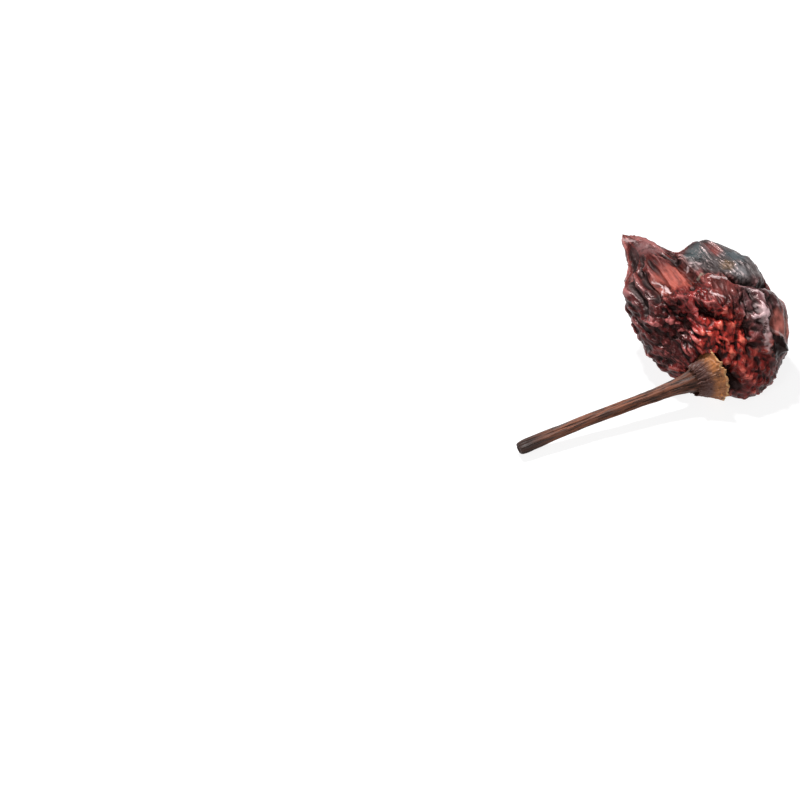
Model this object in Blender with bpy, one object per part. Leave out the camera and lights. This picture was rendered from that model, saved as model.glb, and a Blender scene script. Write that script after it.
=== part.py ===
"""A dried ghost pepper as picked: the collapsed, wrinkled pod, its calyx and its stem.

Lengths are in millimetres until SCALE turns them into metres. +X is to the right, +Y to the back and +Z up.
The origin is on the surface that the pepper lies on, below the middle of the pod.
"""

import math

import bmesh
import bpy
import numpy as np
from mathutils import Vector, geometry, noise

SCALE = 0.001
GAP = 0.3
NOISE_SEED = 1

# Pod: the size of the collapsed fruit, without its wrinkles.
POD_WIDTH = 34.0
POD_DEPTH = 34.0
POD_HEIGHT = 22.0
POD_BOXINESS = 2.6
POD_CUTS = 29
POD_MIDDLE = Vector((0.0, 0.0, POD_HEIGHT / 2))

# The smooth skin passes through these points, measured from the middle of the pod.
SKIN_REACH = 24.0
SKIN_POINTS = (
    (-14.6, 19.6, 4.6),
    (-11.2, 16.7, 6.6),
    (-10.5, 9.5, 9.0),
    (-6.2, 14.8, 5.6),
    (1.5, 15.6, 7.0),
    (1.0, 8.0, 10.6),
    (8.4, 13.3, 6.9),
    (13.6, 6.0, 4.2),
    (17.4, -4.0, -0.5),
    (14.4, -14.1, -5.3),
    (8.0, -18.4, -8.2),
    (-8.2, -12.5, -6.5),
    (-13.0, -5.0, -5.5),
    (-16.2, 5.0, -2.0),
    (-15.2, 12.4, 1.5),
    (0.0, 0.0, 11.5),
    (9.0, -2.0, 9.5),
    (-8.0, 2.0, 8.5),
    (5.0, -12.0, 4.5),
    (-6.0, -9.0, 3.0),
    (0.0, 0.0, -11.4),
    (-16.4, 7.0, 1.3),
    (-16.2, -1.0, 0.0),
    (-3.0, 13.9, 7.0),
)

# How far a fold's line wanders, as a part of the distance from the middle of the pod.
FOLD_WANDER = 0.06

# Folds of the skin: the line that each follows, how far it rises (or sinks, below zero), and its half width.
FOLDS = (
    (((-16.6, 20.6, 5.3), (-17.6, 19.5, 5.0)), 2.6, 0.9),
    (((-8.2, 15.0, 4.0), (-7.8, 12.2, 7.6), (-6.4, 6.0, 8.6), (-4.4, 1.7, 10.2)), -1.9, 0.9),
    (((-15.0, 14.0, 6.0), (-14.8, 8.6, 5.2), (-14.8, 0.0, 5.6), (-14.6, -4.9, 4.2)), -2.0, 0.9),
    (((-13.5, 11.0, 6.9), (-13.0, 2.4, 7.0), (-12.5, -3.8, 7.1)), -1.9, 0.8),
    (((-12.8, 14.4, 7.7), (-10.5, 10.5, 7.9), (-7.4, 8.2, 8.1)), -1.0, 0.7),
    (((-10.9, 0.9, 8.0), (-10.1, -2.3, 8.7), (-9.5, -4.7, 8.4)), -2.4, 1.5),
    (((-4.5, -0.7, 10.5), (-4.4, -3.6, 10.6)), -2.0, 1.0),
    (((4.6, -1.2, 10.6), (8.0, -0.9, 10.0), (11.5, 0.4, 8.6), (14.0, 2.5, 6.0)), -2.2, 1.1),
    (((-0.7, -1.2, 11.4), (2.3, -1.9, 11.2), (5.5, -3.2, 10.4), (9.7, -3.6, 9.2)), 1.0, 0.7),
    (((-10.1, -4.7, 8.1), (-6.8, -5.3, 9.2), (-3.3, -6.7, 9.8), (-0.4, -7.9, 9.3), (1.6, -8.2, 8.2)), 1.4, 0.9),
    (((-9.9, -6.8, 6.2), (-7.0, -8.0, 6.0)), -1.6, 1.2),
    (((-2.6, -8.9, 8.4), (1.0, -9.9, 7.2)), -1.6, 1.0),
    (((6.7, -6.1, 9.0), (7.3, -10.2, 5.4), (8.0, -14.3, 1.9)), -1.5, 1.1),
    (((9.7, -5.0, 8.9), (10.9, -10.4, 5.5), (12.1, -14.2, 0.4)), 1.3, 0.9),
    (((12.6, -3.0, 7.9), (13.7, -8.0, 5.7), (14.5, -12.0, 3.0)), -1.2, 1.0),
    (((14.9, -12.2, 1.3), (15.3, -11.4, 0.6)), 1.8, 1.2),
    (((2.9, -18.6, -3.0), (4.2, -18.0, -4.5)), -3.0, 1.8),
    (((-1.5, 0.0, -11.0), (1.5, 0.0, -11.0)), 1.2, 3.0),
    (((-5.1, 6.0, 9.6), (-1.0, 4.7, 11.1)), 0.7, 0.6),
    (((8.6, -3.5, 9.2), (9.6, -7.5, 7.6), (10.4, -11.5, 4.4)), -1.3, 0.6),
    (((11.2, -2.5, 8.8), (12.3, -7.0, 6.8), (13.1, -11.5, 3.4)), -1.1, 0.5),
    (((-17.0, -2.4, -0.8), (-15.6, -6.2, -2.2)), 1.8, 1.5),
    (((-17.0, 5.0, 1.5), (-17.0, 1.5, 0.5)), -1.3, 2.2),
    (((-14.2, 18.2, 6.2), (-11.5, 16.2, 7.0), (-9.4, 14.8, 6.8)), 2.3, 1.6),
    (((-2.8, 14.6, 7.4), (-0.6, 14.3, 7.8)), -1.5, 1.6),
    (((-17.0, 14.8, 3.4), (-17.0, 12.5, 3.0)), 1.0, 1.7),
    (((-17.0, 9.6, 3.2), (-17.2, 8.0, 2.6)), 1.0, 1.2),
    (((9.5, 11.5, 6.5), (12.4, 7.9, 4.6)), -2.2, 1.8),
    (((17.2, 0.8, 1.2), (17.6, -1.5, 0.6)), -0.8, 1.6),
)

# Where the skin is drawn smooth, and how many degrees that reaches: the tip, its face, the back lobe, the
# right-hand edge and the top.
SMOOTH_LOBES = (
    ((-8.0, 4.0, 8.0), 22),
    ((-12.0, 12.0, 7.0), 28),
    ((1.0, 7.0, 11.0), 26),
    ((5.0, 12.0, 8.0), 30),
    ((12.0, 4.0, 7.0), 20),
    ((15.0, -8.0, 3.0), 18),
    ((2.0, -3.0, 10.6), 13),
)

# Where the skin is crumpled into a net: round the calyx and at the lower right.
NET_LOBES = (
    ((-1.0, -11.0, 6.0), 24),
    ((4.0, -12.0, 3.0), 20),
    ((9.0, -16.0, -3.0), 24),
)

# How many degrees round the calyx the wrinkles are low, so that it has a seat.
SEAT_REACH = 18.0

# Fine folds that run from the tip to the calyx: about six times this many lie round the pod.
MERIDIAN_FOLDS = 5.3
MERIDIAN_BREAKS = 4.0

# The way along which the folds of the crumpled skin are drawn out.
POD_GRAIN = Vector((0.42, -0.9, 0.06)).normalized()
GRAIN_STRETCH = 0.6

# Calyx: a cap whose rim is on the skin of the pod and whose socket holds the foot of the stem.
CALYX_CENTRE = Vector((0.7, -14.6, 6.6))
CALYX_FACING = Vector((-1.0, -0.45, -0.1)).normalized()
CALYX_SOCKET = 2.2
CALYX_SIDES = 48
CALYX_TEETH = 5

# Stem: a ribbed stalk with a flared foot, as its radius at parts of its length.
STEM_END = Vector((-42.2, -33.6, 1.9))
STEM_END_FACING = Vector((-1.0, -0.5, -0.12)).normalized()
STEM_SPANS = (0, 0.03, 0.065, 0.115, 0.17, 0.25, 0.4, 0.65, 0.9, 0.985, 1)
STEM_RADII = (4.0, 3.5, 2.95, 2.4, 1.92, 1.6, 1.4, 1.28, 1.36, 1.48, 1.2)
STEM_LEAVING = 0.17
STEM_ARRIVING = 0.4
STEM_RINGS = 44
STEM_SIDES = 30
STEM_RIBS = 6


def unit(vectors):
    return vectors / np.linalg.norm(vectors, axis=-1, keepdims=True)


def nearness(ways, others, reach):
    """1 where two directions are the same, falling to 0 past a reach in degrees, for each pair."""
    angles = np.degrees(np.arccos(np.clip(ways @ others.T, -1, 1)))
    return np.exp(-((angles / reach) ** 2))


def plain_radius(ways):
    """Distance from the middle to the skin of a rounded box of the pod's size."""
    half = np.array((POD_WIDTH / 2, POD_DEPTH / 2, POD_HEIGHT / 2))
    return (np.abs(ways / half) ** POD_BOXINESS).sum(axis=1) ** (-1 / POD_BOXINESS)


def skin_radius(ways):
    """Distance from the middle of the pod to its smooth skin, which passes through SKIN_POINTS."""
    points = np.array(SKIN_POINTS)
    held = unit(points)
    missing = np.linalg.norm(points, axis=1) - plain_radius(held)
    pulls = np.linalg.solve(nearness(held, held, SKIN_REACH), missing)
    return plain_radius(ways) + nearness(ways, held, SKIN_REACH) @ pulls


def wandering(spot):
    """A push that changes slowly from place to place, with a smaller and quicker one on top."""
    return noise.noise_vector(spot) + noise.noise_vector(spot * 2.8) * 0.35


def fold_heights(ways, radius):
    """How far FOLDS raise or sink the skin in each direction, with each fold's line made to wander."""
    wander = np.array([wandering(Vector(way) * 5.0)[:] for way in ways])
    bent = unit(ways + FOLD_WANDER * wander)
    steps = np.linspace(0, 1, 12)[:, None]
    heights = np.zeros(len(ways))
    for line, rise, width in FOLDS:
        line = unit(np.array(line))
        beads = unit(np.concatenate([a + (b - a) * steps for a, b in zip(line, line[1:])]))
        away = np.arccos(np.clip(bent @ beads.T, -1, 1)).min(axis=1) * radius
        heights += rise * np.exp(-((away / width) ** 1.3))
    return heights


def share_of(lobes, ways):
    """1 in the lobes, which are directions and their reach in degrees, falling to 0 away from them."""
    total = np.zeros(len(ways))
    for lobe, reach in lobes:
        total += nearness(ways, unit(np.array([lobe])), reach)[:, 0]
    return np.clip(total, 0, 1)


def pod_meridian(ways):
    """For each direction, its angle round the line from the tip to the calyx and how far along that it is."""
    tip = unit(np.array(SKIN_POINTS[0]))
    base = unit(np.array(CALYX_CENTRE - POD_MIDDLE))
    chord = unit(base - tip)
    across = unit(np.cross(chord, (0.0, 0.0, 1.0)))
    rel = ways - tip
    turn = np.arctan2(rel @ np.cross(chord, across), rel @ across)
    from_tip = np.arccos(np.clip(ways @ tip, -1, 1))
    from_base = np.arccos(np.clip(ways @ base, -1, 1))
    return turn, from_tip / (from_tip + from_base)


def ridges(spot):
    """Thin crests that wander and fork round wide hollows, from 1 down to about -1."""
    spot = spot + noise.noise_vector(spot * 0.6) * 0.7
    main = 1 - 3.4 * abs(noise.noise(spot)) ** 0.85
    return main + (0.35 - 1.4 * abs(noise.noise(spot * 2.3))) * (0.4 + 0.6 * max(main, 0))


def flaps(spot):
    """Folds about a unit wide that lean different ways, from about 1 down to -1 in the creases."""
    spot = spot + noise.noise_vector(spot * 0.7) * 0.7 + noise.noise_vector(spot * 2.1) * 0.15
    reaches, seeds = noise.voronoi(spot, distance_metric="DISTANCE_SQUARED")
    lean = 2.2 * noise.noise_vector(seeds[0] * 3.3).dot(spot - seeds[0])
    high = 1 + 0.8 * noise.noise(seeds[0] * 5.1) + lean
    return 2 * high * min(1.2 * (reaches[1] - reaches[0]), 1) ** 0.75 - 1


def wrinkle_heights(ways, points):
    """How far the wrinkles raise or sink the skin."""
    calm = share_of(SMOOTH_LOBES, ways)
    crumpled = share_of(NET_LOBES, ways)
    turns, alongs = pod_meridian(ways)
    seat = nearness(ways, unit(np.array([CALYX_CENTRE - POD_MIDDLE])), SEAT_REACH)[:, 0]
    heights = np.zeros(len(ways))
    for i, point in enumerate(points):
        spot = Vector(point)
        ring = Vector((math.cos(turns[i]), math.sin(turns[i]), 0)) * MERIDIAN_FOLDS
        ring.z = MERIDIAN_BREAKS * alongs[i]
        fold = 0.42 * ridges(ring * 0.8) + 0.24 * ridges(ring * 1.5)
        drawn = spot - POD_GRAIN * spot.dot(POD_GRAIN) * GRAIN_STRETCH
        net = 0.3 * ridges(drawn / 3.4) + 0.55 * flaps(drawn / 2.2)
        pleat = 0.3 * ridges(ring * 0.9) + 0.42 * flaps(drawn / 2.3)
        rough = crumpled[i] * net + (1 - crumpled[i]) * pleat
        deeper = 1 + 0.7 * noise.noise(spot / 5)
        heights[i] = (calm[i] * fold + (1 - calm[i]) * rough) * deeper
    return heights * (1 - 0.8 * seat)


def even_sphere(cuts):
    """A cube of cuts + 1 faces along each edge, blown up to a ball with faces of nearly one size."""
    ball = bmesh.new()
    bmesh.ops.create_cube(ball, size=2)
    bmesh.ops.subdivide_edges(ball, edges=ball.edges[:], cuts=cuts, use_grid_fill=True)
    for corner in ball.verts:
        corner.co = Vector([math.tan(c * math.pi / 4) for c in corner.co]).normalized()
    return ball


def loft(rings):
    """A closed skin over rings of points, with its first and last rings filled."""
    shape = bmesh.new()
    rows = [[shape.verts.new(point) for point in ring] for ring in rings]
    for row, above in zip(rows, rows[1:]):
        for i in range(len(row)):
            shape.faces.new((row[i - 1], row[i], above[i], above[i - 1]))
    shape.faces.new(rows[0][::-1])
    shape.faces.new(rows[-1])
    bmesh.ops.recalc_face_normals(shape, faces=shape.faces)
    return shape


def make_object(name, shape, colour, roughness):
    """The finished object of a bmesh that is in millimetres."""
    bmesh.ops.scale(shape, vec=(SCALE,) * 3, verts=shape.verts)
    mesh = bpy.data.meshes.new(name)
    shape.to_mesh(mesh)
    shape.free()
    mesh.shade_smooth()
    material = bpy.data.materials.new(name)
    material.use_nodes = True
    shader = material.node_tree.nodes["Principled BSDF"]
    shader.inputs["Base Color"].default_value = (*colour, 1)
    shader.inputs["Roughness"].default_value = roughness
    mesh.materials.append(material)
    made = bpy.data.objects.new(name, mesh)
    bpy.context.scene.collection.objects.link(made)
    return made


def calyx_rings(grow):
    """Rings of the calyx from the middle of its socket, over the rim, to the middle of its back.

    A ring of the profile is its radius, its height and how ragged it is. A grow above 0 gives a calyx that is
    larger by that much all round.
    """
    turn = CALYX_FACING.to_track_quat("Z", "Y")
    profile = (
        (1.0, CALYX_SOCKET, 0), (4.4 - grow, CALYX_SOCKET, 0), (4.0 - grow, 3.4 + grow, 0),
        (4.4 + grow, 3.5 + grow, 0.1), (5.1 + grow, 2.3, 0.4), (5.7 + grow, 1.1, 0.8), (6.2 + grow, 0.1, 1.0),
        (5.6 + grow, -0.6 - grow, 0.6), (3.2, -1.1 - grow, 0), (1.0, -1.3 - grow, 0),
    )
    rings = []
    for radius, height, ragged in profile:
        ring = []
        for i in range(CALYX_SIDES):
            a = 2 * math.pi * i / CALYX_SIDES
            uneven = noise.noise(Vector((math.cos(a), math.sin(a), 3)) * 2.4) * 0.9
            tooth = ragged * (math.cos(CALYX_TEETH * a) * 0.22 + uneven)
            wide = radius + 0.8 * tooth
            spot = Vector((wide * math.cos(a), wide * math.sin(a), height + 0.5 * tooth))
            ring.append(CALYX_CENTRE + turn @ spot)
        rings.append(ring)
    return rings


def stem_rings(grow):
    """Rings of the stem from its foot to its cut end."""
    foot = CALYX_CENTRE + CALYX_FACING * (CALYX_SOCKET + GAP)
    span = (STEM_END - foot).length
    leaving = foot + CALYX_FACING * STEM_LEAVING * span
    arriving = STEM_END - STEM_END_FACING * STEM_ARRIVING * span
    line = geometry.interpolate_bezier(foot, leaving, arriving, STEM_END, STEM_RINGS)
    rings = []
    for i, middle in enumerate(line):
        ahead = line[min(i + 1, len(line) - 1)] - line[max(i - 1, 0)]
        turn = ahead.to_track_quat("Z", "Y")
        along = i / (len(line) - 1)
        radius = np.interp(along, STEM_SPANS, STEM_RADII)
        ring = []
        for j in range(STEM_SIDES):
            a = 2 * math.pi * j / STEM_SIDES
            rib = 0.06 * math.cos(STEM_RIBS * a + 2 * along) + 0.03 * math.cos(11 * a + 5 * along)
            bump = 0.05 * noise.noise(Vector((math.cos(a), math.sin(a), 14 * along)) * 1.5)
            uneven = 1 + (rib + bump) * min(1, 0.2 + 12 * along)
            ring.append(middle + turn @ Vector((math.cos(a), math.sin(a), 0)) * (radius * uneven + grow))
        rings.append(ring)
    return rings


def cut_away(made, cutter):
    """Takes a hidden cutter out of an object."""
    cutter.hide_render = True
    cutter.display_type = "WIRE"
    cut = made.modifiers.new(cutter.name, "BOOLEAN")
    cut.operation = "DIFFERENCE"
    cut.solver = "EXACT"
    cut.object = cutter


def ground_block():
    """A block whose top is the surface that the pepper lies on."""
    side = 2 * POD_WIDTH
    block = bmesh.new()
    bmesh.ops.create_cube(block, size=side)
    bmesh.ops.translate(block, vec=(0, 0, -side / 2), verts=block.verts)
    return block


def make_pod():
    skin = even_sphere(POD_CUTS)
    ways = np.array([corner.co[:] for corner in skin.verts])
    radius = skin_radius(ways)
    radius += fold_heights(ways, radius) + wrinkle_heights(ways, ways * radius[:, None])
    for corner, reach in zip(skin.verts, radius):
        corner.co = POD_MIDDLE + corner.co * reach
    return make_object("pod", skin, (0.16, 0.02, 0.015), 0.4)


for old in list(bpy.data.objects):
    bpy.data.objects.remove(old)
noise.seed_set(NOISE_SEED)
pod = make_pod()
calyx = make_object("calyx", loft(calyx_rings(0)), (0.36, 0.2, 0.08), 0.6)
stem = make_object("stem", loft(stem_rings(0)), (0.12, 0.05, 0.03), 0.6)
room = (
    ("ground", ground_block()),
    ("calyx_room", loft(calyx_rings(GAP)[3:])),
    ("stem_room", loft(stem_rings(2 * GAP))),
)
for name, shape in room:
    cut_away(pod, make_object(name, shape, (0.5, 0.5, 0.5), 0.5))
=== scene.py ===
"""A dried ghost pepper on a pale surface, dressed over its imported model.

Shapes are worked out in millimetres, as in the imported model, and turned to metres with MM.
Places on the pod's skin are measured from POD_MIDDLE.
"""

import math

import bpy
import numpy as np
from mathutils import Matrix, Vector, geometry, noise
from mathutils.bvhtree import BVHTree


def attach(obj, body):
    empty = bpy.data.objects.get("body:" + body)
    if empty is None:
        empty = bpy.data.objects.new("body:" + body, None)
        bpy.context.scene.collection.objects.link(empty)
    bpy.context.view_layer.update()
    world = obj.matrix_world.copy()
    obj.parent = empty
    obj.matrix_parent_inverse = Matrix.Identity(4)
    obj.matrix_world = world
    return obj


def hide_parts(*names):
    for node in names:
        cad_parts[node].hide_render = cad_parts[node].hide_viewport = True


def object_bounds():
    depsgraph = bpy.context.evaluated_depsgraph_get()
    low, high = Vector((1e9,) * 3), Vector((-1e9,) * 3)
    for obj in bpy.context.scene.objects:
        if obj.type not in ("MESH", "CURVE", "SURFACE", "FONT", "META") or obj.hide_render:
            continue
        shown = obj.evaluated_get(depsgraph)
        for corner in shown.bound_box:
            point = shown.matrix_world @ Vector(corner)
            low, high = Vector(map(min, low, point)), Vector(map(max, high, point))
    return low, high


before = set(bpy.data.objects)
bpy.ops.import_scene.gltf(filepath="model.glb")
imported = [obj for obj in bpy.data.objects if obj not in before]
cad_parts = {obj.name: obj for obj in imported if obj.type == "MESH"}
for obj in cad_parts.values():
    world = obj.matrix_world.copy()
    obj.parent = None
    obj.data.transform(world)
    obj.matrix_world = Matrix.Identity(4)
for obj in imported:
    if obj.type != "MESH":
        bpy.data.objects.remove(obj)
model_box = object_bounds()

MM = 0.001
NOISE_SEED = 1

# Camera: where the photograph was taken from, its scale, and the pixel that the pod's middle falls on.
PHOTO_SIDE = 800
MM_PER_PIXEL = 0.22
VIEW_HEIGHT = math.radians(42)
LENS = 100.0
SENSOR = 36.0
CLIP_START = 0.01
POD_PIXEL = (706, 314)

# Light: a dim room, a floor that glows, and two soft lamps with their place, width and power.
ROOM_LIGHT = 0.2
FLOOR_SIDE = 3.0
FLOOR_GREY = (0.2, 0.2, 0.203)
FLOOR_GLOW = 0.86
LAMP_AIM = Vector((0, 0, 10))
LAMPS = (("key", (-120, 160, 420), 70, 3.6), ("front", (-180, -320, 260), 120, 0.5))

# Pod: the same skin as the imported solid's, on a finer mesh.
POD_MIDDLE = Vector((0.0, 0.0, 11.0))
POD_HALF = np.array((17.0, 17.0, 11.0))
POD_BOXINESS = 2.6
POD_CUTS = 127

# Sends the corners towards the side that the camera sees, so that they lie closer together there.
CROWDING = Vector((-0.1, -0.17, 0.3))

# How far the skin stays from the calyx and the stem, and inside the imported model's box.
POD_GAP = 0.3
EDGE_SPARE = 0.02

# Places that the smooth skin passes through, and how many degrees the pull of each one reaches.
SKIN_REACH = 24.0
SKIN_POINTS = (
    (-14.6, 19.6, 4.6), (-11.2, 16.7, 6.6), (-10.5, 9.5, 9.0), (-6.2, 14.8, 5.6), (1.5, 15.6, 7.0),
    (1.0, 8.0, 10.6), (8.4, 13.3, 6.9), (13.6, 6.0, 4.2), (17.4, -4.0, -0.5), (14.4, -14.1, -5.3),
    (8.0, -18.4, -8.2), (-8.2, -12.5, -6.5), (-13.0, -5.0, -5.5), (-16.2, 5.0, -2.0), (-15.2, 12.4, 1.5),
    (0.0, 0.0, 11.5), (9.0, -2.0, 9.5), (-8.0, 2.0, 8.5), (5.0, -12.0, 4.5), (-6.0, -9.0, 3.0),
    (0.0, 0.0, -11.4), (-16.4, 7.0, 1.3), (-16.2, -1.0, 0.0), (-3.0, 13.9, 7.0),
)

# Folds: the places that each one's line runs through, how far it rises or sinks, and its width.
FOLDS = (
    (((-16.6, 20.6, 5.3), (-17.6, 19.5, 5.0)), 2.6, 0.9),
    (((-8.2, 15.0, 4.0), (-7.8, 12.2, 7.6), (-6.4, 6.0, 8.6), (-4.4, 1.7, 10.2)), -1.9, 0.9),
    (((-15.0, 14.0, 6.0), (-14.8, 8.6, 5.2), (-14.8, 0.0, 5.6), (-14.6, -4.9, 4.2)), -2.0, 0.9),
    (((-13.5, 11.0, 6.9), (-13.0, 2.4, 7.0), (-12.5, -3.8, 7.1)), -1.9, 0.8),
    (((-12.8, 14.4, 7.7), (-10.5, 10.5, 7.9), (-7.4, 8.2, 8.1)), -1.0, 0.7),
    (((-10.9, 0.9, 8.0), (-10.1, -2.3, 8.7), (-9.5, -4.7, 8.4)), -2.4, 1.5),
    (((-4.5, -0.7, 10.5), (-4.4, -3.6, 10.6)), -2.0, 1.0),
    (((4.6, -1.2, 10.6), (8.0, -0.9, 10.0), (11.5, 0.4, 8.6), (14.0, 2.5, 6.0)), -2.2, 1.1),
    (((-0.7, -1.2, 11.4), (2.3, -1.9, 11.2), (5.5, -3.2, 10.4), (9.7, -3.6, 9.2)), 1.0, 0.7),
    (
        ((-10.1, -4.7, 8.1), (-6.8, -5.3, 9.2), (-3.3, -6.7, 9.8), (-0.4, -7.9, 9.3), (1.6, -8.2, 8.2)),
        1.4, 0.9,
    ),
    (((-9.9, -6.8, 6.2), (-7.0, -8.0, 6.0)), -1.6, 1.2),
    (((-2.6, -8.9, 8.4), (1.0, -9.9, 7.2)), -1.6, 1.0),
    (((6.7, -6.1, 9.0), (7.3, -10.2, 5.4), (8.0, -14.3, 1.9)), -1.5, 1.1),
    (((9.7, -5.0, 8.9), (10.9, -10.4, 5.5), (12.1, -14.2, 0.4)), 1.3, 0.9),
    (((12.6, -3.0, 7.9), (13.7, -8.0, 5.7), (14.5, -12.0, 3.0)), -1.2, 1.0),
    (((14.9, -12.2, 1.3), (15.3, -11.4, 0.6)), 1.8, 1.2),
    (((2.9, -18.6, -3.0), (4.2, -18.0, -4.5)), -3.0, 1.8),
    (((-1.5, 0.0, -11.0), (1.5, 0.0, -11.0)), 1.2, 3.0),
    (((-5.1, 6.0, 9.6), (-1.0, 4.7, 11.1)), 0.7, 0.6),
    (((8.6, -3.5, 9.2), (9.6, -7.5, 7.6), (10.4, -11.5, 4.4)), -1.3, 0.6),
    (((11.2, -2.5, 8.8), (12.3, -7.0, 6.8), (13.1, -11.5, 3.4)), -1.1, 0.5),
    (((-17.0, -2.4, -0.8), (-15.6, -6.2, -2.2)), 1.8, 1.5),
    (((-17.0, 5.0, 1.5), (-17.0, 1.5, 0.5)), -1.3, 2.2),
    (((-14.2, 18.2, 6.2), (-11.5, 16.2, 7.0), (-9.4, 14.8, 6.8)), 2.3, 1.6),
    (((-2.8, 14.6, 7.4), (-0.6, 14.3, 7.8)), -1.5, 1.6),
    (((-17.0, 14.8, 3.4), (-17.0, 12.5, 3.0)), 1.0, 1.7),
    (((-17.0, 9.6, 3.2), (-17.2, 8.0, 2.6)), 1.0, 1.2),
    (((9.5, 11.5, 6.5), (12.4, 7.9, 4.6)), -2.2, 1.8),
    (((17.2, 0.8, 1.2), (17.6, -1.5, 0.6)), -0.8, 1.6),
)

# How far and how quickly the line of a fold wanders, how many places stand for each stretch of it, how
# steep a fold is, and how far the slopes of the smooth lobes are drawn in towards their crests.
FOLD_WANDER = 0.06
FOLD_STIR = 5.0
FOLD_BEADS = 12
FOLD_STEEPNESS = 1.3
CREST_PINCH = 0.3

# Where the skin is drawn smooth, and how many degrees each place reaches: the tip lobe, its flat face,
# the back lobe, the right-hand edge and the top.
SMOOTH_LOBES = (
    ((-8.0, 4.0, 8.0), 22), ((-12.0, 12.0, 7.0), 28), ((1.0, 7.0, 11.0), 26), ((5.0, 12.0, 8.0), 30),
    ((12.0, 4.0, 7.0), 20), ((15.0, -8.0, 3.0), 18), ((2.0, -3.0, 10.6), 13),
)

# Where the skin is crumpled into a net: round the calyx and at the lower right. Within SEAT_REACH degrees
# of the calyx its wrinkles are low.
NET_LOBES = (((-1.0, -11.0, 6.0), 24), ((4.0, -12.0, 3.0), 20), ((9.0, -16.0, -3.0), 24))
SEAT_REACH = 18.0

# The tip's flat face and the calm ground in the middle: where they are, how many degrees they reach,
# and how much of the folds and of the fine wrinkles they take away.
FLAT_FACE = (-8.2, 2.4, 8.8)
FLAT_REACH, FLAT_FOLDS, FLAT_FINE = 12.0, 0.6, 0.5
PLATEAU = (2.8, -3.6, 10.2)
PLATEAU_REACH, PLATEAU_FOLDS, PLATEAU_FINE = 13.0, 0.4, 0.55

# Wrinkles: how many long folds fit round the pod and from end to end, the line that the others are drawn
# out along and how far, and the height past which peaks are pressed down and by how much.
MERIDIAN_FOLDS = 5.3
MERIDIAN_BREAKS = 4.0
POD_GRAIN = Vector((0.42, -0.9, 0.06)).normalized()
GRAIN_STRETCH = 0.6
FINE_STRETCH = 0.75
PEAK_HEIGHT = 0.5
PEAK_PRESS = 0.35

# The skin's material reads how far each corner stands above the skin round it, and uses it to paint shade
# into the hollows
# and a highlight onto the crests: how many times that skin is averaged, the height that counts as 1, and the
# most that is kept.
RISE_ROUNDS = 60
RISE_UNIT = 0.6
RISE_LIMIT = 1.5

# Calyx: its place, and the radius and height of each ring, from the bottom of its socket, over its lip,
# down to its rim and back underneath.
CALYX_CENTRE = Vector((0.7, -14.6, 6.6))
CALYX_FACING = Vector((-1.0, -0.45, -0.1)).normalized()
CALYX_SIDES = 48
CALYX_PROFILE = (
    (1.0, 2.2), (4.2, 2.25), (3.95, 3.2), (3.5, 4.4), (3.2, 5.3), (3.4, 5.4), (3.8, 4.5), (4.4, 3.4),
    (5.0, 2.3), (5.6, 1.2), (6.1, 0.35), (6.35, 0.0), (5.7, -0.3), (3.2, -0.8), (1.0, -1.0),
)

# The radius within which the calyx stays plain, where the rim and the lip lie, and how far each reaches.
CORE_RADIUS = 3.0
RIM_HEIGHT, RIM_REACH = 0.1, 0.9
LIP_START, LIP_REACH = 3.6, 1.2

# The rim has teeth that stand outwards and down, and one side of it is raised, which is the upper side in
# the photograph. Each push is outwards in X and Y, and up.
RIM_TEETH = np.array((0.5, 0.5, -0.35))
RIM_RAISED = np.array((0.5, 0.5, 0.9))
RAISED_SIDE = Vector((0, 0.67, 0.74))

# Stem: its bend, from the foot in the calyx to the cut end, and its radius at parts of its length.
STEM_FOOT = 2.5
STEM_LEAVING = 0.17
STEM_END = Vector((-42.2, -33.6, 1.9))
STEM_END_FACING = Vector((-1.0, -0.5, -0.12)).normalized()
STEM_ARRIVING = 0.4
STEM_SPANS = (0, 0.03, 0.065, 0.115, 0.17, 0.25, 0.4, 0.65, 0.9, 0.985, 1)
STEM_RADII = (4.0, 3.5, 2.95, 2.4, 1.92, 1.6, 1.4, 1.28, 1.36, 1.48, 1.2)
STEM_RINGS = 44
STEM_SIDES = 30
STEM_RIBS = 6
BEND_SMOOTHNESS = 64
BEND_POINTS = 200

# The stem's cut end: how much wider than its last ring each ring is, and how far back it lies.
CUT_END = ((0.05, 0.12), (-0.1, 0.0), (-0.45, 0.0), (-0.6, 0.25), (-1.0, 0.3))
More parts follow.
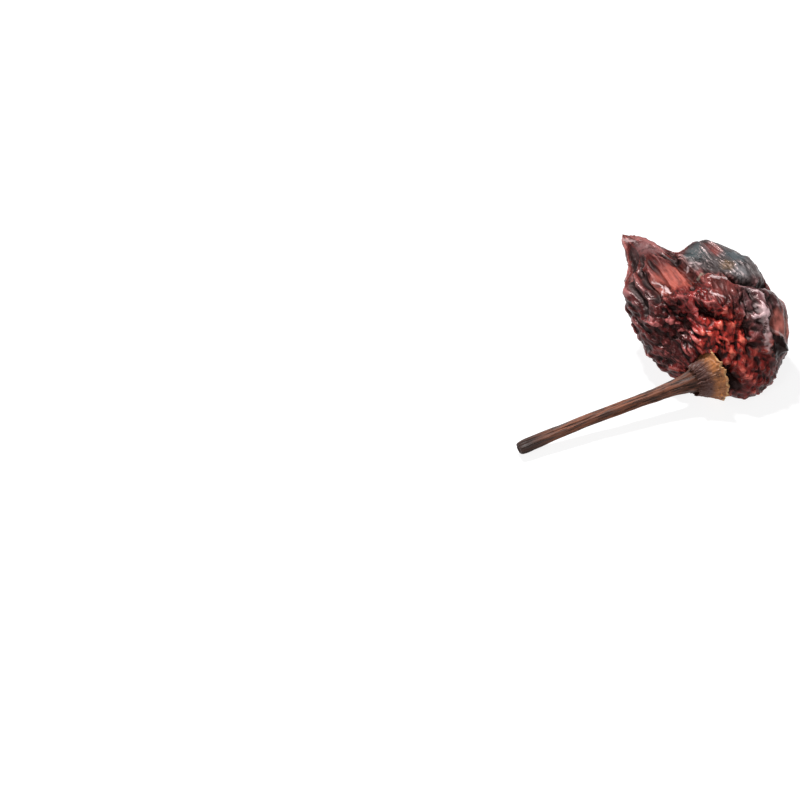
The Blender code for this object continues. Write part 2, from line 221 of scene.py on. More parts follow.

# Skin colours: painted shade in the hollows, the skin's own colour, and on the crests a painted highlight
# that also stands for light glowing through the thin skin; then patches of others: middle, reach, softness
# and the same three colours.
SKIN_COLOURS = ((0.01, 0.001, 0.001), (0.16, 0.016, 0.014), (0.42, 0.08, 0.06))
PATCHES = {
    # Darker on the left side: painted shade, over the skin's own darker tone.
    "left side": (
        (-14.5, 0.5, 2.5), 8.0, 2.5,
        (0.005, 0.001, 0.001), (0.06, 0.012, 0.012), (0.26, 0.1, 0.1),
    ),
    "tip": (
        (-13.0, 12.0, 7.0), 10.0, 2.5,
        (0.007, 0.001, 0.001), (0.1, 0.018, 0.016), (0.34, 0.12, 0.11),
    ),
    "terracotta": (
        (-7.6, 1.5, 9.0), 4.2, 1.5,
        (0.1, 0.015, 0.01), (0.32, 0.07, 0.05), (0.42, 0.13, 0.1),
    ),
    "back lobe": (
        (4.5, 8.0, 9.5), 9.5, 2.0,
        (0.012, 0.009, 0.009), (0.085, 0.07, 0.07), (0.37, 0.33, 0.325),
    ),
    "plateau": (
        (2.5, -3.8, 10.3), 4.2, 1.5,
        (0.03, 0.006, 0.005), (0.2, 0.045, 0.04), (0.42, 0.2, 0.19),
    ),
    "right folds": (
        (11.5, -6.0, 7.5), 7.0, 2.5,
        (0.01, 0.003, 0.003), (0.12, 0.048, 0.05), (0.45, 0.3, 0.31),
    ),
    "right edge": (
        (16.5, -8.0, 4.0), 3.0, 1.2,
        (0.08, 0.02, 0.015), (0.34, 0.13, 0.11), (0.5, 0.3, 0.27),
    ),
    "middle": (
        (-4.5, -8.0, 6.5), 6.0, 2.5,
        (0.012, 0.001, 0.001), (0.23, 0.022, 0.021), (0.52, 0.17, 0.165),
    ),
    "centre": (
        (2.0, -13.0, 4.0), 6.0, 2.5,
        (0.016, 0.001, 0.001), (0.38, 0.033, 0.025), (0.68, 0.14, 0.095),
    ),
    # Darker on the lower left: painted shade, over the skin's own darker tone.
    "lower left": (
        (-10.5, -8.5, 1.0), 7.5, 2.5,
        (0.005, 0.001, 0.001), (0.08, 0.011, 0.011), (0.42, 0.115, 0.11),
    ),
    "far side": (
        (9.0, 16.0, -1.0), 7.0, 3.0,
        (0.008, 0.002, 0.002), (0.09, 0.026, 0.025), (0.32, 0.16, 0.15),
    ),
    "far left": (
        (-15.0, 12.0, -3.0), 6.0, 3.0,
        (0.006, 0.001, 0.001), (0.08, 0.012, 0.011), (0.3, 0.1, 0.09),
    ),
}

# Spots of one colour on the skin, two of them painted shadow and two a painted sheen: middle, reach,
# softness, strength and colour.
SPOTS = {
    "reddish top": ((1.4, 9.9, 10.4), 2.2, 1.3, 0.75, (0.2, 0.05, 0.045)),
    "yellow-brown": ((4.1, 4.3, 10.3), 1.4, 0.9, 0.6, (0.2, 0.12, 0.06)),
    "pale green": ((-2.3, 0.0, 11.0), 0.7, 0.6, 0.55, (0.4, 0.42, 0.32)),
    # Painted sheen: bluish patches of gloss on the back lobe, put into its colour.
    "bluish, left": ((-2.5, 8.4, 10.7), 2.8, 1.5, 0.6, (0.06, 0.085, 0.09)),
    "bluish, right": ((6.4, 8.9, 9.2), 2.6, 1.5, 0.6, (0.06, 0.085, 0.095)),
    # Painted shadow: near-black at the right edge, where the skin beside a knob lies in shade.
    "painted knob shadow": ((14.6, -12.8, 1.3), 2.4, 0.5, 2.0, (0.008, 0.003, 0.003)),
    "mauve tip": ((-11.4, 14.6, 6.8), 3.4, 1.4, 0.6, (0.2, 0.085, 0.085)),
    "pale grey": ((6.9, 3.0, 9.7), 2.0, 1.2, 0.5, (0.26, 0.25, 0.26)),
    "brick": ((14.3, -8.1, 4.5), 2.4, 0.8, 0.7, (0.34, 0.1, 0.08)),
    # Painted shadow: near-black in a hollow beside the calyx, where shade falls.
    "painted cavity shadow": ((3.2, -17.0, -4.3), 2.1, 0.7, 1.6, (0.008, 0.001, 0.001)),
}

# Pale lines on the skin, where light catches the edge of a fold: the two ends, half width and strength.
PALE_MAUVE = (0.56, 0.42, 0.42)
PALE_LINES = (
    ((-11.4, 2.0, 7.4), (-10.2, -2.6, 7.2), 0.35, 0.9),
    ((-9.6, 0.6, 7.2), (-9.2, -1.4, 7.4), 0.3, 0.9),
    ((-5.6, 5.0, 10.3), (-1.6, 4.6, 11.2), 0.4, 0.55),
    ((-0.5, -1.3, 11.6), (9.6, -3.6, 9.4), 0.35, 0.85),
    ((-0.8, -5.4, 10.6), (2.6, -6.6, 9.8), 0.35, 0.6),
    ((5.4, 2.4, 10.3), (9.0, 1.8, 9.2), 0.4, 0.45),
    ((12.2, -9.7, 4.3), (15.6, -10.4, 2.3), 0.35, 0.7),
    ((9.2, -6.6, 8.4), (12.0, -14.4, 1.0), 0.4, 0.4),
    ((-17.4, 20.0, 5.2), (-14.6, 17.0, 6.6), 0.5, 0.4),
)

# The gloss on the skin is slightly pink.
SKIN_GLOSS_TINT = (1, 0.74, 0.72)

# Calyx colours: in its hollows, of its tissue, of its flecks, towards the stem and on the worn rim.
CALYX_BROWN, CALYX_TAN, CALYX_GOLD = (0.11, 0.038, 0.013), (0.3, 0.108, 0.032), (0.46, 0.17, 0.045)
COLLAR_BROWN = (0.065, 0.021, 0.014)
RIM_CREAM = (0.5, 0.29, 0.13)

# Stem colours: between the fibres, of the bark, of its pale streaks, at its foot and at its cut end.
BARK_DARK, BARK_BROWN, BARK_PALE = (0.018, 0.007, 0.004), (0.14, 0.048, 0.026), (0.24, 0.09, 0.05)
FOOT_BROWN = (0.045, 0.018, 0.012)
CUT_BLACK = (0.02, 0.01, 0.008)

# How deep the finest grain is, which the materials only draw.
BUMP_DEPTH = 0.2


def unit(vectors):
    return vectors / np.linalg.norm(vectors, axis=-1, keepdims=True)


def nearness(ways, others, reach):
    """1 where two directions are the same, falling to 0 past a reach in degrees, for each pair."""
    angles = np.degrees(np.arccos(np.clip(ways @ others.T, -1, 1)))
    return np.exp(-((angles / reach) ** 2))


def near(place, reach, ways):
    """1 towards a place on the pod, falling to 0 past a reach in degrees."""
    return nearness(ways, unit(np.array([place])), reach)[:, 0]


def share_of(lobes, ways):
    """1 in the lobes, which are places and their reach in degrees, falling to 0 away from them."""
    return np.clip(sum(near(place, reach, ways) for place, reach in lobes), 0, 1)


def plain_radius(ways):
    return (np.abs(ways / POD_HALF) ** POD_BOXINESS).sum(axis=1) ** (-1 / POD_BOXINESS)


def skin_radius(ways):
    """Distance from the middle of the pod to its smooth skin, which passes through SKIN_POINTS."""
    points = np.array(SKIN_POINTS)
    held = unit(points)
    missing = np.linalg.norm(points, axis=1) - plain_radius(held)
    pulls = np.linalg.solve(nearness(held, held, SKIN_REACH), missing)
    return plain_radius(ways) + nearness(ways, held, SKIN_REACH) @ pulls


def wandering(spot):
    """A push that changes slowly from place to place, with a smaller and quicker one on top."""
    return noise.noise_vector(spot) + noise.noise_vector(spot * 2.8) * 0.35


def fold_heights(ways, radius):
    """How far FOLDS raise or sink the skin in each direction, with each fold's line made to wander."""
    wander = np.array([wandering(Vector(way) * FOLD_STIR)[:] for way in ways])
    bent = unit(ways + FOLD_WANDER * wander)
    steps = np.linspace(0, 1, FOLD_BEADS)[:, None]
    heights = np.zeros(len(ways))
    for line, rise, width in FOLDS:
        line = unit(np.array(line))
        beads = unit(np.concatenate([a + (b - a) * steps for a, b in zip(line, line[1:])]))
        away = np.arccos(np.clip((bent @ beads.T).max(axis=1), -1, 1)) * radius
        heights += rise * np.exp(-((away / width) ** FOLD_STEEPNESS))
    return heights


def pod_meridian(ways):
    """For each direction, its angle round the line from the tip to the calyx and how far along that it is."""
    tip = unit(np.array(SKIN_POINTS[0]))
    base = unit(np.array(CALYX_CENTRE - POD_MIDDLE))
    chord = unit(base - tip)
    across = unit(np.cross(chord, (0.0, 0.0, 1.0)))
    rel = ways - tip
    turn = np.arctan2(rel @ np.cross(chord, across), rel @ across)
    from_tip = np.arccos(np.clip(ways @ tip, -1, 1))
    from_base = np.arccos(np.clip(ways @ base, -1, 1))
    return turn, from_tip / (from_tip + from_base)


def long_fold_place(turn, along):
    """A place on a drum that stands for the pod, with its long folds a unit or so apart round it."""
    ring = Vector((math.cos(turn), math.sin(turn), 0)) * MERIDIAN_FOLDS
    ring.z = MERIDIAN_BREAKS * along
    return ring


def drawn_out(spot, stretch):
    """A place with its distance along the grain shortened, so that shapes drawn there grow long that way."""
    return spot - POD_GRAIN * spot.dot(POD_GRAIN) * stretch


def crest(spot):
    """Sharp crests that wander round rounded pits, from 1 down to about -1, a unit or so apart."""
    spot = spot + noise.noise_vector(spot * 0.7) * 0.5
    return 1 - 4 * abs(noise.noise(spot))


def ridges(spot):
    """Thin crests that wander and fork round wide hollows, from 1 down to about -1."""
    spot = spot + noise.noise_vector(spot * 0.6) * 0.7
    main = 1 - 3.4 * abs(noise.noise(spot)) ** 0.85
    return main + (0.35 - 1.4 * abs(noise.noise(spot * 2.3))) * (0.4 + 0.6 * max(main, 0))


def flaps(spot):
    """Folds about a unit wide that lean different ways, from about 1 down to -1 in the creases."""
    spot = spot + noise.noise_vector(spot * 0.7) * 0.7 + noise.noise_vector(spot * 2.1) * 0.15
    reaches, seeds = noise.voronoi(spot, distance_metric="DISTANCE_SQUARED")
    lean = 2.2 * noise.noise_vector(seeds[0] * 3.3).dot(spot - seeds[0])
    high = 1 + 0.8 * noise.noise(seeds[0] * 5.1) + lean
    return 2 * high * min(1.2 * (reaches[1] - reaches[0]), 1) ** 0.75 - 1


def crumple(spot):
    """Flat facets that meet in sharp crests and sharp creases, from about 1 down to about -1."""
    spot = spot + noise.noise_vector(spot * 0.7) * 0.5
    up = noise.voronoi(spot, distance_metric="DISTANCE_SQUARED")[0]
    down = noise.voronoi(spot * 0.8 + Vector((7, 3, 5)), distance_metric="DISTANCE_SQUARED")[0]
    return 1.3 * (up[1] - up[0] - down[1] + down[0])


def wrinkle_heights(ways, points, calm):
    """How far the wrinkles raise or sink the skin: each is a height times a shape drawn at a size."""
    turns, alongs = pod_meridian(ways)
    crumpled = share_of(NET_LOBES, ways)
    heights = np.zeros(len(ways))
    for i, point in enumerate(points):
        spot = Vector(point)
        ring = long_fold_place(turns[i], alongs[i])
        drawn = drawn_out(spot, GRAIN_STRETCH)
        fold = 0.42 * ridges(ring * 0.8) + 0.24 * ridges(ring * 1.5)
        net = 0.3 * ridges(drawn / 3.4) + 0.55 * flaps(drawn / 2.2)
        pleat = 0.3 * ridges(ring * 0.9) + 0.42 * flaps(drawn / 2.3)
        rough = crumpled[i] * net + (1 - crumpled[i]) * pleat
        deeper = 1 + 0.7 * noise.noise(spot / 5)
        heights[i] = (calm[i] * fold + (1 - calm[i]) * rough) * deeper
    return heights * (1 - 0.8 * near(CALYX_CENTRE - POD_MIDDLE, SEAT_REACH, ways))


def fine_wrinkles(ways, points, calm):
    """The smallest wrinkles, which only the finished skin has, and each place among the long folds."""
    turns, alongs = pod_meridian(ways)
    heights = np.zeros(len(ways))
    rings = np.zeros((len(ways), 3))
    for i, point in enumerate(points):
        spot = Vector(point)
        ring = rings[i] = long_fold_place(turns[i], alongs[i])
        drawn = drawn_out(spot, FINE_STRETCH)
        rough = 0.32 * crumple(drawn / 1.35) + 0.07 * crumple(drawn / 0.7)
        folded = 0.13 * crest(ring * 3) + 0.2 * crumple(ring * 1.6) + 0.06 * crumple(spot / 0.9)
        heights[i] = calm[i] * folded + (1 - calm[i]) * rough
    return heights, rings


def deselect():
    for chosen in bpy.context.selected_objects:
        chosen.select_set(False)


def finish_piece(name, node, material):
    """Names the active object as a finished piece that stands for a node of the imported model."""
    piece = bpy.context.active_object
    piece.name = name
    piece.data.name = name
    piece.data.materials.clear()
    piece.data.materials.append(material)
    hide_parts(node)
    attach(piece, "root")


def corner_places(mesh):
    places = np.empty(len(mesh.vertices) * 3)
    mesh.vertices.foreach_get("co", places)
    return places.reshape(-1, 3)


def corner_normals(mesh):
    normals = np.empty(len(mesh.vertices) * 3)
    mesh.vertices.foreach_get("normal", normals)
    return normals.reshape(-1, 3)


def edge_ends(mesh):
    ends = np.empty(len(mesh.edges) * 2, np.int32)
    mesh.edges.foreach_get("vertices", ends)
    return ends.reshape(-1, 2)


def move_corners(mesh, places):
    mesh.vertices.foreach_set("co", places.ravel())
    mesh.update()


def store(mesh, name, values):
    """Keeps one number, or three, for each corner of a mesh, for its material to read."""
    values = np.asarray(values, np.float32)
    if values.ndim == 1:
        mesh.attributes.new(name, "FLOAT", "POINT").data.foreach_set("value", values)
    else:
        mesh.attributes.new(name, "FLOAT_VECTOR", "POINT").data.foreach_set("vector", values.ravel())


def smoothed(values, edges, rounds):
    """Values averaged with their neighbours' along the edges, a number of times."""
    count = len(values)
    links = np.bincount(edges.ravel(), minlength=count) + 1
    for _ in range(rounds):
        total = np.bincount(edges[:, 0], values[edges[:, 1]], count)
        total += np.bincount(edges[:, 1], values[edges[:, 0]], count)
        values = (values + total) / links
    return values


def feed(tree, socket, value):
    """Links a socket to another, or sets its value; a colour is given as three numbers."""
    if isinstance(value, bpy.types.NodeSocket):
        tree.links.new(value, socket)
    else:
        socket.default_value = (*value, 1) if socket.type == "RGBA" else value


def mix(tree, factor, first, second, kind="RGBA"):
    """Goes from the first colour or number to the second as the factor goes from 0 to 1."""
    node = tree.nodes.new("ShaderNodeMix")
    node.data_type = kind
    for socket, value in zip([s for s in node.inputs if s.enabled], (factor, first, second)):
        feed(tree, socket, value)
    return next(s for s in node.outputs if s.enabled)


def ramp(tree, value, low, high, to_low=0.0, to_high=1.0):
    """Goes smoothly from to_low to to_high as a number goes from low to high."""
    node = tree.nodes.new("ShaderNodeMapRange")
    node.interpolation_type = "SMOOTHSTEP"
    for socket, given in zip(node.inputs, (value, low, high, to_low, to_high)):
        feed(tree, socket, given)
    return node.outputs[0]


def maths(tree, how, *values):
    node = tree.nodes.new("ShaderNodeMath")
    node.operation = how
    for socket, value in zip(node.inputs, values):
        feed(tree, socket, value)
    return node.outputs[0]


def times(tree, first, second):
    return maths(tree, "MULTIPLY", first, second)


def vector_maths(tree, how, *values):
    node = tree.nodes.new("ShaderNodeVectorMath")
    node.operation = how
    for socket, value in zip(node.inputs, values):
        feed(tree, socket, value)
    return node.outputs["Value" if how in ("DOT_PRODUCT", "DISTANCE") else "Vector"]


def noise_on(tree, vector, often, detail=2.0, rough=0.5, distortion=0.0):
    """A noise texture that changes a number of times in each unit of the vector that it is drawn on."""
    node = tree.nodes.new("ShaderNodeTexNoise")
    node.inputs["Scale"].default_value = often
    node.inputs["Detail"].default_value = detail
    node.inputs["Roughness"].default_value = rough
    node.inputs["Distortion"].default_value = distortion
    tree.links.new(vector, node.inputs["Vector"])
    return node.outputs


def every(size):
    """How often in a metre something comes that is a size in millimetres wide."""
    return 1 / (size * MM)


def stirred_place(tree, place, size, push):
    """A place pushed to and fro by a noise, so that what is drawn round it has wandering edges."""
    stir = noise_on(tree, place, every(size))["Color"]
    pushed = vector_maths(tree, "MULTIPLY_ADD", stir, (push * MM,) * 3, place)
    return vector_maths(tree, "SUBTRACT", pushed, (push * MM / 2,) * 3)


def attribute(tree, name):
    node = tree.nodes.new("ShaderNodeAttribute")
    node.attribute_name = name
    return node.outputs


def new_material(name):
    material = bpy.data.materials.new(name)
    material.use_nodes = True
    tree = material.node_tree
    return material, tree, tree.nodes["Principled BSDF"]


def object_place(tree):
    return tree.nodes.new("ShaderNodeTexCoord").outputs["Object"]


def add_bump(tree, shader, height, strength):
    bump = tree.nodes.new("ShaderNodeBump")
    bump.inputs["Strength"].default_value = strength
    bump.inputs["Distance"].default_value = BUMP_DEPTH * MM
    tree.links.new(height, bump.inputs["Height"])
    tree.links.new(bump.outputs[0], shader.inputs["Normal"])


def place_mask(tree, place, centre, reach, soft):
    """1 near a place on the pod's skin, falling to 0 between reach - soft and reach + soft."""
    away = vector_maths(tree, "DISTANCE", place, (Vector(centre) + POD_MIDDLE) * MM)
    return ramp(tree, away, (reach + soft) * MM, (reach - soft) * MM)


def line_mask(tree, way, start, end, wide):
    """1 where a way out from the pod's middle meets the line between two places, 0 past its half width."""
    a, b = Vector(start).normalized(), Vector(end).normalized()
    half = wide / Vector(start).length
    side = a.cross(b).normalized()
    across = maths(tree, "ABSOLUTE", vector_maths(tree, "DOT_PRODUCT", way, side))
    span = a.angle(b) / 2
    along = vector_maths(tree, "DOT_PRODUCT", way, (a + b).normalized())
    within = ramp(tree, along, math.cos(span + half), math.cos(max(span - half, 0)))
    return times(tree, ramp(tree, across, 1.3 * half, 0.3 * half), within)


def patched_colours(tree, place):
    """The skin's three colours, painted hollow shade, skin and painted crest highlight, each changed in the
    patches.
    """
    shaded_valley, skin, crests = SKIN_COLOURS
    for centre, reach, soft, low, middle, high in PATCHES.values():
        mask = place_mask(tree, place, centre, reach, soft)
        shaded_valley = mix(tree, mask, shaded_valley, low)
        skin = mix(tree, mask, skin, middle)
        crests = mix(tree, mask, crests, high)
    return shaded_valley, skin, crests


def add_cracks(tree, colour, place, blotch, shaded_valley):
    """Thin dark cracks between cells of skin, in some of its blotches."""
    cells = tree.nodes.new("ShaderNodeTexVoronoi")
    cells.feature = "DISTANCE_TO_EDGE"
    cells.inputs["Scale"].default_value = every(3.2)
    tree.links.new(stirred_place(tree, place, 1.4, 2.4), cells.inputs["Vector"])
    crack = times(tree, ramp(tree, cells.outputs["Distance"], 0.07, 0.015), ramp(tree, blotch, 0.4, 0.55))
    return mix(tree, times(tree, crack, 0.4), colour, shaded_valley)


def add_pale_lines(tree, colour, place, mottle):
    outward = vector_maths(tree, "SUBTRACT", stirred_place(tree, place, 1.6, 1.4), POD_MIDDLE * MM)
    way = vector_maths(tree, "NORMALIZE", outward)
    broken = ramp(tree, mottle, 0.38, 0.5)
    for start, end, wide, strength in PALE_LINES:
        line = times(tree, line_mask(tree, way, start, end, wide), strength)
        colour = mix(tree, times(tree, line, broken), colour, PALE_MAUVE)
    return colour


def add_spots(tree, colour, place, mottle):
    ragged = stirred_place(tree, place, 1.8, 2.6)
    patchy = ramp(tree, mottle, 0.38, 0.5, 0.45, 1.0)
    for centre, reach, soft, strength, tint in SPOTS.values():
        spot = times(tree, place_mask(tree, ragged, centre, reach, soft), strength)
        colour = mix(tree, times(tree, spot, patchy), colour, tint)
    return colour


def skin_material():
    """Painted shade, near-black, in the creases, red to mauve on the skin and a pale painted highlight on the
    crests, with glossier crests.
    """
    material, tree, shader = new_material("dried_skin")
    place = object_place(tree)
    blotch = noise_on(tree, place, every(7.0), 4.0, 0.6)["Fac"]
    mottle = noise_on(tree, place, every(1.6), 4.0, 0.65)["Fac"]
    streak = noise_on(tree, attribute(tree, "ring")["Vector"], 1.6, 4.0, 0.65)["Fac"]
    uneven = maths(tree, "MULTIPLY_ADD", mottle, 0.9, -0.45)
    lifted = maths(tree, "ADD", attribute(tree, "rise")["Fac"], uneven)
    stirred = stirred_place(tree, place, 4.5, 5.0)
    shaded_valley, skin, crests = patched_colours(tree, stirred)
    # Painted shade where the skin sinks below the skin round it, painted highlight where it stands above it.
    colour = mix(tree, ramp(tree, lifted, -0.55, 0.25), shaded_valley, skin)
    colour = mix(tree, ramp(tree, lifted, 0.35, 0.9), colour, crests)
    colour = mix(tree, ramp(tree, blotch, 0.42, 0.62, 0.0, 0.45), colour, shaded_valley)
    # Streaks along the long folds, darkened with the painted shade and lightened with the painted highlight.
    colour = mix(tree, ramp(tree, streak, 0.5, 0.36, 0.0, 0.75), colour, shaded_valley)
    colour = mix(tree, ramp(tree, streak, 0.56, 0.7, 0.0, 0.5), colour, crests)
    colour = add_cracks(tree, colour, place, blotch, shaded_valley)
    colour = add_pale_lines(tree, colour, place, mottle)
    colour = add_spots(tree, colour, place, mottle)
    tree.links.new(colour, shader.inputs["Base Color"])
    rough = ramp(tree, lifted, -0.5, 0.35, 0.5, 0.24)
    dull = place_mask(tree, stirred, FLAT_FACE, 5.5, 2.0)
    tree.links.new(mix(tree, dull, rough, 0.6, "FLOAT"), shader.inputs["Roughness"])
    shader.inputs["Specular IOR Level"].default_value = 0.25
    shader.inputs["Specular Tint"].default_value = (*SKIN_GLOSS_TINT, 1)
    grain = noise_on(tree, place, every(0.45), 4.0, 0.6)["Fac"]
    creases = noise_on(tree, place, every(1.1), 3.0, 0.55, 1.2)["Fac"]
    add_bump(tree, shader, maths(tree, "ADD", grain, creases), 0.25)
    return material


def calyx_material():
    """Golden tissue in brown patches, browner towards the stem, with a pale worn rim."""
    material, tree, shader = new_material("calyx_tissue")
    place = object_place(tree)
    patches = noise_on(tree, place, every(2.6), 4.0, 0.6)["Fac"]
    flecks = noise_on(tree, place, every(0.8), 4.0, 0.65)["Fac"]
    colour = mix(tree, ramp(tree, patches, 0.35, 0.6), CALYX_BROWN, CALYX_TAN)
    colour = mix(tree, ramp(tree, flecks, 0.52, 0.66, 0.0, 0.8), colour, CALYX_GOLD)
    brown = maths(tree, "ADD", attribute(tree, "high")["Fac"], times(tree, patches, 2.0))
    colour = mix(tree, ramp(tree, brown, 2.7, 4.6), colour, COLLAR_BROWN)
    worn = maths(tree, "ADD", attribute(tree, "rim")["Fac"], maths(tree, "MULTIPLY_ADD", flecks, 1.2, -0.6))
    colour = mix(tree, ramp(tree, worn, 0.8, 1.1), colour, RIM_CREAM)
    tree.links.new(colour, shader.inputs["Base Color"])
    tree.links.new(ramp(tree, flecks, 0.3, 0.7, 0.4, 0.7), shader.inputs["Roughness"])
    shader.inputs["Specular IOR Level"].default_value = 0.35
    add_bump(tree, shader, flecks, 0.5)
    return material


def stem_material():
    """Brown bark streaked lengthways, darker at the foot and nearly black at the cut end."""
    material, tree, shader = new_material("stem_bark")
    along = attribute(tree, "along")["Fac"]
    streak = noise_on(tree, attribute(tree, "grain")["Vector"], 3.0, 5.0, 0.6)["Fac"]
    colour = mix(tree, ramp(tree, streak, 0.38, 0.62), BARK_DARK, BARK_BROWN)
    lighter = times(tree, ramp(tree, along, 0.15, 0.4), ramp(tree, streak, 0.42, 0.6, 0.1, 0.5))
    colour = mix(tree, lighter, colour, BARK_PALE)
    colour = mix(tree, ramp(tree, along, 0.25, 0.0, 0.0, 0.45), colour, FOOT_BROWN)
    colour = mix(tree, ramp(tree, along, 0.8, 0.97, 0.0, 0.85), colour, CUT_BLACK)
    tree.links.new(colour, shader.inputs["Base Color"])
    tree.links.new(ramp(tree, streak, 0.3, 0.7, 0.45, 0.7), shader.inputs["Roughness"])
    shader.inputs["Specular IOR Level"].default_value = 0.25
    add_bump(tree, shader, streak, 0.6)
    return material


def crowded_ball():
    """A cube cut into small squares, and the direction from the pod's middle that each corner is sent in."""
    deselect()
    bpy.ops.mesh.primitive_cube_add(size=2)
    bpy.ops.object.mode_set(mode="EDIT")
    bpy.ops.mesh.subdivide(number_cuts=POD_CUTS)
    bpy.ops.object.mode_set(mode="OBJECT")
    mesh = bpy.context.active_object.data
    even = unit(np.tan(corner_places(mesh) * math.pi / 4))
    return mesh, unit(even + np.array(CROWDING))


def clear_radius(ways, radius):
    """Each radius cut back so that it stops short of the calyx, the stem and the ground."""
    for node in ("calyx", "stem"):
        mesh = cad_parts[node].data
        corners = [v.co / MM for v in mesh.vertices]
        solid = BVHTree.FromPolygons(corners, [p.vertices[:] for p in mesh.polygons])
        for i, way in enumerate(ways):
            hit, _, _, reach = solid.ray_cast(POD_MIDDLE, Vector(way), radius[i] + POD_GAP)
            if hit is not None:
                radius[i] = max(reach - POD_GAP, 1.0)
    down = np.maximum(-ways[:, 2], 1e-6)
    return np.minimum(radius, POD_MIDDLE.z / down)


def make_pod():
    mesh, ways = crowded_ball()
    edges = edge_ends(mesh)
    calm = share_of(SMOOTH_LOBES, ways)
    flat = near(FLAT_FACE, FLAT_REACH, ways)
    level = near(PLATEAU, PLATEAU_REACH, ways)

    radius = skin_radius(ways)
    wrinkles = wrinkle_heights(ways, ways * radius[:, None], calm)
    wrinkles -= PEAK_PRESS * np.maximum(wrinkles - PEAK_HEIGHT, 0)
    heights = fold_heights(ways, radius) + wrinkles * (1 - PLATEAU_FOLDS * level)
    heights = smoothed(heights, edges, 1) * (1 - FLAT_FOLDS * flat)
    points = np.array(POD_MIDDLE) + ways * clear_radius(ways, radius + heights)[:, None]
    move_corners(mesh, points * MM)

    fine, rings = fine_wrinkles(ways, points, calm)
    fine *= (1 - FLAT_FINE * flat) * (1 - PLATEAU_FINE * level)
    normals = corner_normals(mesh)
    lean = normals - (normals * ways).sum(axis=1)[:, None] * ways
    points = points + normals * fine[:, None] - lean * (CREST_PINCH * calm)[:, None]
    low, high = np.array(model_box) / MM
    move_corners(mesh, np.clip(points, (low[0], low[1], 0), high - EDGE_SPARE) * MM)

    relief = heights + fine
    rise = (relief - smoothed(relief, edges, RISE_ROUNDS)) / RISE_UNIT
    store(mesh, "rise", np.clip(rise, -RISE_LIMIT, RISE_LIMIT))
    store(mesh, "ring", rings)
    bpy.ops.object.shade_smooth()
    finish_piece("pod_skin", "pod", skin_material())


def turned_body(profile, sides, levels):
    """A closed body round Z: a circle extruded through a profile of radii and heights, then rounded off."""
    deselect()
    radius, height = profile[0]
    bpy.ops.mesh.primitive_circle_add(
        vertices=sides, radius=radius * MM, fill_type="NGON", location=(0, 0, height * MM)
    )
    bpy.ops.object.mode_set(mode="EDIT")
    bpy.ops.mesh.select_all(action="SELECT")
    for wide, high in profile[1:]:
        bpy.ops.mesh.extrude_region_move(TRANSFORM_OT_translate={"value": (0, 0, (high - height) * MM)})
        bpy.ops.transform.resize(value=(wide / radius, wide / radius, 1), center_override=(0, 0, high * MM))
        radius, height = wide, high
    bpy.ops.mesh.select_all(action="SELECT")
    bpy.ops.mesh.normals_make_consistent(inside=False)
    bpy.ops.object.mode_set(mode="OBJECT")
    bpy.ops.object.transform_apply(location=True, rotation=True, scale=True)
    piece = bpy.context.active_object
    rounding = piece.modifiers.new("rounding", "SUBSURF")
    rounding.levels = rounding.render_levels = levels
    bpy.ops.object.modifier_apply(modifier=rounding.name)
    return piece


def drum_place(turn, often, height):
    """A place on a drum, for shapes that come often round a piece and change with a height."""
    return turn * often + Vector((0, 0, height))


def make_calyx():
    piece = turned_body(CALYX_PROFILE, CALYX_SIDES, 3)
    mesh = piece.data
    points = corner_places(mesh) / MM
    normals = corner_normals(mesh)
    rims = []
    facing = CALYX_FACING.to_track_quat("Z", "Y")
    raised_side = facing.inverted() @ RAISED_SIDE
    for i, (x, y, z) in enumerate(points.copy()):
        spot = Vector((x, y, z))
        wide = math.hypot(x, y)
        turn = Vector((x / wide, y / wide, 0)) if wide > 0.01 else Vector((1, 0, 0))
        outer = min(1, max(0, (normals[i] @ np.array(turn) + 0.6) / 0.5)) if wide > CORE_RADIUS else 0
        near_rim = math.exp(-(((z - RIM_HEIGHT) / RIM_REACH) ** 2)) * outer
        near_lip = min(1, max(0, (z - LIP_START) / LIP_REACH))
        veins = 0.08 * crest(drum_place(turn, 7, z * 0.12)) + 0.032 * crest(drum_place(turn, 16, z * 0.3))
        rough = 0.13 * crumple(spot / 1.4) + 0.06 * crest(spot / 1.7)
        tooth = 0.5 * ridges(drum_place(turn, 2.6, 5)) + 0.22 * ridges(turn * 5.5)
        frayed = 0.45 * crest(drum_place(turn, 4, 9)) + 0.2 * crest(turn * 11)
        out_and_up = np.array((turn.x, turn.y, 1))
        points[i] += normals[i] * (veins + rough - 0.08) * outer
        points[i] += out_and_up * RIM_TEETH * (tooth * near_rim)
        points[i] += out_and_up * RIM_RAISED * (max(0, turn.dot(raised_side)) ** 2 * near_rim)
        points[i][2] += near_lip * frayed
        rims.append(near_rim)
    move_corners(mesh, points * MM)
    store(mesh, "rim", rims)
    store(mesh, "high", points[:, 2])
    piece.location = CALYX_CENTRE * MM
    piece.rotation_euler = facing.to_euler()
    bpy.ops.object.transform_apply(location=True, rotation=True, scale=True)
    bpy.ops.object.shade_smooth()
    finish_piece("calyx_cap", "calyx", calyx_material())


def stem_bend():
    """The curve that the middle of the stem follows, and how far along it each of its points lies."""
    foot = CALYX_CENTRE + CALYX_FACING * STEM_FOOT
    span = (STEM_END - foot).length
    deselect()
    bpy.ops.curve.primitive_bezier_curve_add()
    bend = bpy.context.active_object
    bend.data.resolution_u = BEND_SMOOTHNESS
    first, last = bend.data.splines[0].bezier_points
    ends = (
        (first, foot, CALYX_FACING * STEM_LEAVING * span),
        (last, STEM_END, STEM_END_FACING * STEM_ARRIVING * span),
    )
    for point, place, ahead in ends:
        point.handle_left_type = point.handle_right_type = "FREE"
        point.co = place * MM
        point.handle_right = (place + ahead) * MM
        point.handle_left = (place - ahead) * MM
    line = geometry.interpolate_bezier(first.co, first.handle_right, last.handle_left, last.co, BEND_POINTS)
    steps = [(b - a).length / MM for a, b in zip(line, line[1:])]
    return bend, np.concatenate(([0.0], np.cumsum(steps)))


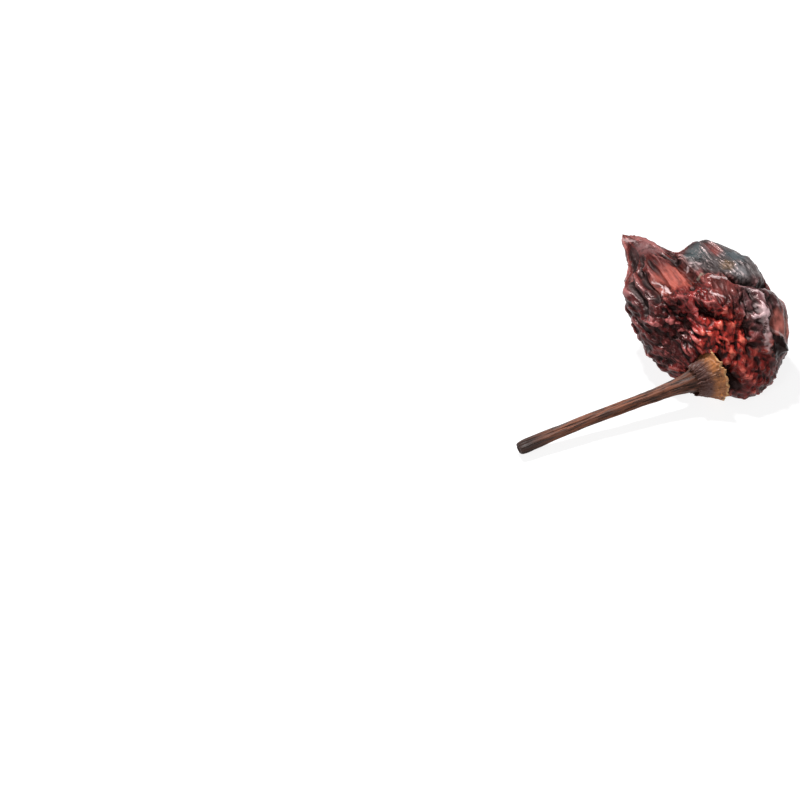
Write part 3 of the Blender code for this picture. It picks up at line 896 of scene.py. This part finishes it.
def make_stem():
    bend, reached = stem_bend()
    shares = np.linspace(0, 1, len(reached))
    parts = np.linspace(0, 1, STEM_RINGS)
    heights = np.interp(parts, shares, reached)
    radii = np.interp(parts, STEM_SPANS, STEM_RADII)
    profile = list(zip(radii, heights))
    end_radius, length = profile.pop()
    profile += [(end_radius + wider, length - back) for wider, back in CUT_END]
    piece = turned_body(profile, STEM_SIDES, 2)
    mesh = piece.data
    points = corner_places(mesh) / MM
    alongs = np.interp(points[:, 2], reached, shares)
    grain = []
    for i, (x, y, _) in enumerate(points.copy()):
        wide = max(math.hypot(x, y), 0.01)
        turn = Vector((x / wide, y / wide, 0))
        a, along = math.atan2(y, x), alongs[i]
        uneven = 0.06 * math.cos(STEM_RIBS * a + 2 * along) + 0.03 * math.cos(11 * a + 5 * along)
        uneven += 0.1 * noise.noise(drum_place(turn, 1.5, 8 * along))
        uneven += 0.045 * crest(drum_place(turn, 2.6, 4 * along))
        uneven += 0.02 * crest(drum_place(turn, 6, 9 * along))
        points[i][:2] *= 1 + uneven * min(1, 0.2 + 12 * along)
        grain.append((turn.x, turn.y, along * 4))
    move_corners(mesh, points * MM)
    store(mesh, "grain", grain)
    store(mesh, "along", alongs)
    bending = piece.modifiers.new("bending", "CURVE")
    bending.object = bend
    bending.deform_axis = "POS_Z"
    deselect()
    piece.select_set(True)
    bpy.context.view_layer.objects.active = piece
    bpy.ops.object.modifier_apply(modifier=bending.name)
    bpy.data.objects.remove(bend)
    bpy.ops.object.shade_smooth()
    finish_piece("stem_stalk", "stem", stem_material())


def make_floor():
    deselect()
    bpy.ops.mesh.primitive_plane_add(size=FLOOR_SIDE, location=(0, 0, 0))
    floor = bpy.context.active_object
    floor.name = "floor"
    material, _, shader = new_material("pale_floor")
    shader.inputs["Base Color"].default_value = (*FLOOR_GREY, 1)
    shader.inputs["Roughness"].default_value = 0.6
    shader.inputs["Specular IOR Level"].default_value = 0.2
    shader.inputs["Emission Color"].default_value = (1, 1, 1, 1)
    shader.inputs["Emission Strength"].default_value = FLOOR_GLOW
    floor.data.materials.append(material)


def make_camera():
    deselect()
    ahead = Vector((0, math.cos(VIEW_HEIGHT), -math.sin(VIEW_HEIGHT)))
    up = Vector((0, math.sin(VIEW_HEIGHT), math.cos(VIEW_HEIGHT)))
    right_by = (POD_PIXEL[0] - PHOTO_SIDE / 2) * MM_PER_PIXEL
    down_by = (POD_PIXEL[1] - PHOTO_SIDE / 2) * MM_PER_PIXEL
    distance = MM_PER_PIXEL * PHOTO_SIDE * LENS / SENSOR
    place = POD_MIDDLE - Vector((right_by, 0, 0)) + up * down_by - ahead * distance
    bpy.ops.object.camera_add(location=place * MM, rotation=(math.pi / 2 - VIEW_HEIGHT, 0, 0))
    camera = bpy.context.active_object
    camera.data.lens = LENS
    camera.data.sensor_width = SENSOR
    camera.data.clip_start = CLIP_START
    bpy.context.scene.camera = camera


def make_light():
    world = bpy.data.worlds.new("studio")
    bpy.context.scene.world = world
    world.use_nodes = True
    room = world.node_tree.nodes["Background"]
    room.inputs["Color"].default_value = (1, 1, 1, 1)
    room.inputs["Strength"].default_value = ROOM_LIGHT
    for name, place, wide, power in LAMPS:
        deselect()
        bpy.ops.object.light_add(type="AREA", location=Vector(place) * MM)
        lamp = bpy.context.active_object
        lamp.name = name
        lamp.data.shape = "DISK"
        lamp.data.size = wide * MM
        lamp.data.energy = power
        lamp.rotation_euler = (Vector(place) - LAMP_AIM).to_track_quat("Z", "Y").to_euler()
    bpy.context.scene.view_settings.view_transform = "Standard"


noise.seed_set(NOISE_SEED)
make_camera()
make_light()
make_floor()
make_pod()
make_calyx()
make_stem()
